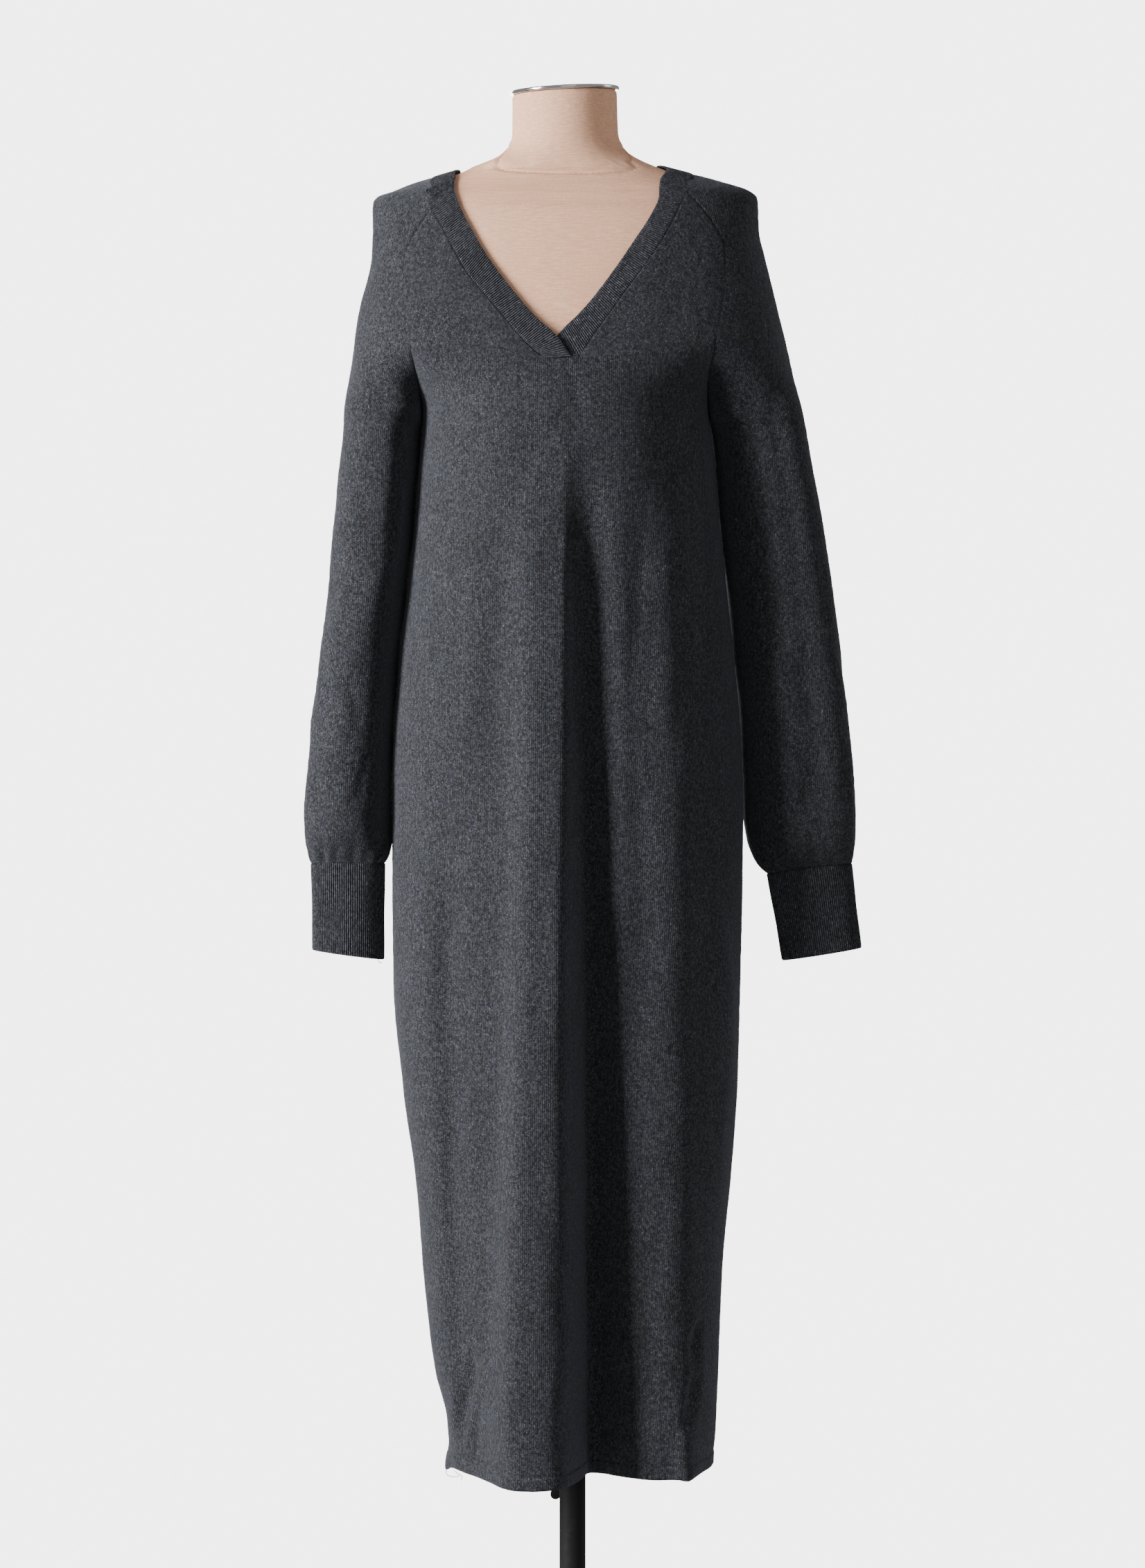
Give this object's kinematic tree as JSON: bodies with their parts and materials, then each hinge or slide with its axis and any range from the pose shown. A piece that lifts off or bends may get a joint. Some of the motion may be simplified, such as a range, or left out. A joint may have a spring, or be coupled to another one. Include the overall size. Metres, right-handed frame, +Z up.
{
  "type": "sweater dress on dress form",
  "caption": "Long charcoal V-neck raglan sweater dress with ribbed neckband and cuffs, worn by a limbless dress form on a telescoping round-base stand.",
  "frame": {"origin": "centre of the base plate's underside, on the axis of the pole", "axes": "+Z up along the pole, the front of the dress faces -Y, +X to the viewer's right in the front view"},
  "size_m": [0.5297, 0.36, 1.6677],
  "materials": {
    "knit": "brushed charcoal knit",
    "linen": "plain-woven pale linen",
    "board": "plain board",
    "cap": "polished",
    "bright_metal": "bright plated steel",
    "black_metal": "black semi-gloss coat"
  },
  "bodies": {
    "stand": {"base_plate": "black_metal", "pole_socket": "black_metal", "outer_tube": "black_metal", "clamp_boss": "black_metal"},
    "mast": {"inner_tube": "bright_metal"},
    "figure": {"torso": "linen", "bottom_board": "board", "neck_cap": "cap", "mast_socket": "black_metal", "front": "knit", "back": "knit", "sleeve_left": "knit", "sleeve_right": "knit", "cuff_left": "knit", "cuff_right": "knit", "neckband": "knit"},
    "clamp": {"clamp_screw": "bright_metal", "clamp_lever": "black_metal"}
  },
  "joints": [
    {"name": "mast_slide", "type": "slide", "parent": "stand", "child": "mast", "axis": [0, 0, 1], "range_m": [0, 0.2]},
    {"name": "figure_swivel", "type": "hinge", "parent": "mast", "child": "figure", "pos_m": [0, 0, 0.83], "axis": [0, 0, 1], "continuous": true},
    {"name": "clamp_turn", "type": "hinge", "parent": "stand", "child": "clamp", "pos_m": [0, 0.0296, 0.334], "axis": [0, 1, 0], "range_deg": [0, 180]}
  ]
}
